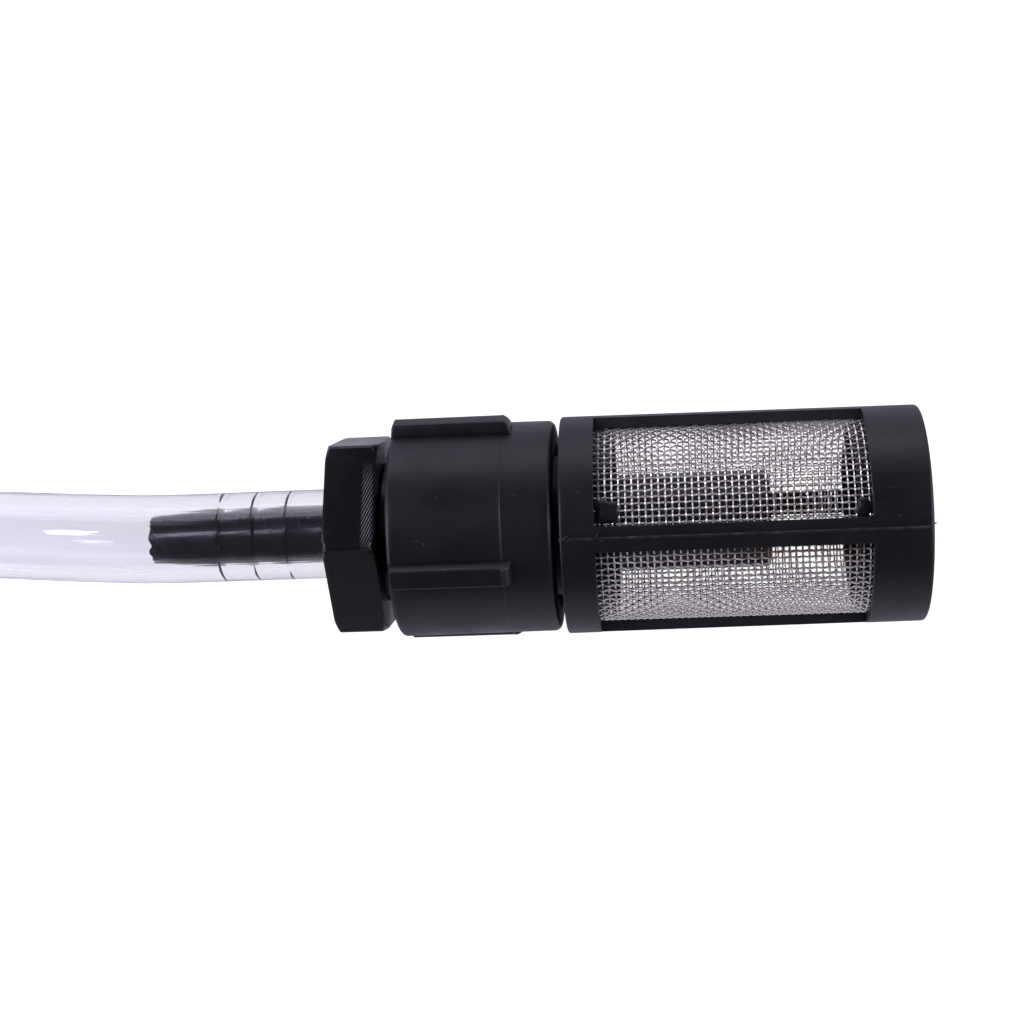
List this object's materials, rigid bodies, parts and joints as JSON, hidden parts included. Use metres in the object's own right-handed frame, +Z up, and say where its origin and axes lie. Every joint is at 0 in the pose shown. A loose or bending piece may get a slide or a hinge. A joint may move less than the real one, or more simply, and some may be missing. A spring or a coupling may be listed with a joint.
{
  "type": "water filter intake strainer",
  "caption": "Intake strainer for a hand pump water filter: clear hose on a barbed fitting, screw coupling and caged steel mesh with a non-return valve inside.",
  "frame": {"origin": "middle of the filter's underside, halfway between the barb's tip and the closed end, on the surface it lies on; the hose and its coil aren't counted", "axes": "+X along the filter's axis towards its closed end, +Y across, +Z up; the hose leaves towards -X"},
  "size_m": [0.2779, 0.1527, 0.0312],
  "materials": {
    "black_plastic": "moulded black polypropylene, fine grained satin with parting lines",
    "valve_plastic": "moulded black acetal, smooth and glossy",
    "screen_steel": "plain-weave stainless wire cloth",
    "spring_steel": "bright stainless spring wire",
    "washer_rubber": "matt black rubber",
    "seal_rubber": "smooth black nitrile",
    "clear_hose": "clear extruded PVC, glossy",
    "tie_nylon": "natural nylon, satin"
  },
  "bodies": {
    "hose_and_fitting": {"barb_fitting": "black_plastic", "hose_on_barb": "clear_hose", "hose_run": "clear_hose", "hose_coil": "clear_hose", "hose_free_end": "clear_hose", "coil_tie_1": "tie_nylon", "coil_tie_2": "tie_nylon"},
    "hose_side_washer": {"hose_side_washer": "washer_rubber"},
    "coupling": {"coupling": "black_plastic"},
    "strainer_side_washer": {"strainer_side_washer": "washer_rubber"},
    "strainer": {"strainer_cage": "black_plastic", "mesh_screen": "screen_steel", "end_plug": "black_plastic", "valve_body": "valve_plastic", "valve_body_o_ring": "seal_rubber", "valve_guide": "valve_plastic", "guide_retaining_ring": "spring_steel", "valve_spring": "spring_steel"},
    "valve_poppet": {"valve_poppet": "valve_plastic", "poppet_seal": "seal_rubber"}
  },
  "joints": [
    {"name": "hose_washer_travel", "type": "slide", "parent": "hose_and_fitting", "child": "hose_side_washer", "axis": [1, 0, 0], "range_m": [0, 0.00544]},
    {"name": "coupling_turn", "type": "hinge", "parent": "hose_side_washer", "child": "coupling", "pos_m": [-0.00885, 0, 0.01478], "axis": [1, 0, 0], "range_deg": [0, 1080]},
    {"name": "strainer_washer_travel", "type": "slide", "parent": "coupling", "child": "strainer_side_washer", "axis": [1, 0, 0], "range_m": [0, 0.0068]},
    {"name": "strainer_turn", "type": "hinge", "parent": "strainer_side_washer", "child": "strainer", "pos_m": [0.00475, 0, 0.01478], "axis": [1, 0, 0], "range_deg": [0, 1350]},
    {"name": "valve_lift", "type": "slide", "parent": "strainer", "child": "valve_poppet", "axis": [-1, 0, 0], "range_m": [0, 0.003], "stiffness_N_per_m": 60, "springref_m": -0.004, "deforming": ["valve_spring"]}
  ],
  "couplings": [
    {"joint": "hose_washer_travel", "follows": "coupling_turn", "m_per_rad": 0.00028871},
    {"joint": "strainer_washer_travel", "follows": "strainer_turn", "m_per_rad": 0.00028871}
  ]
}
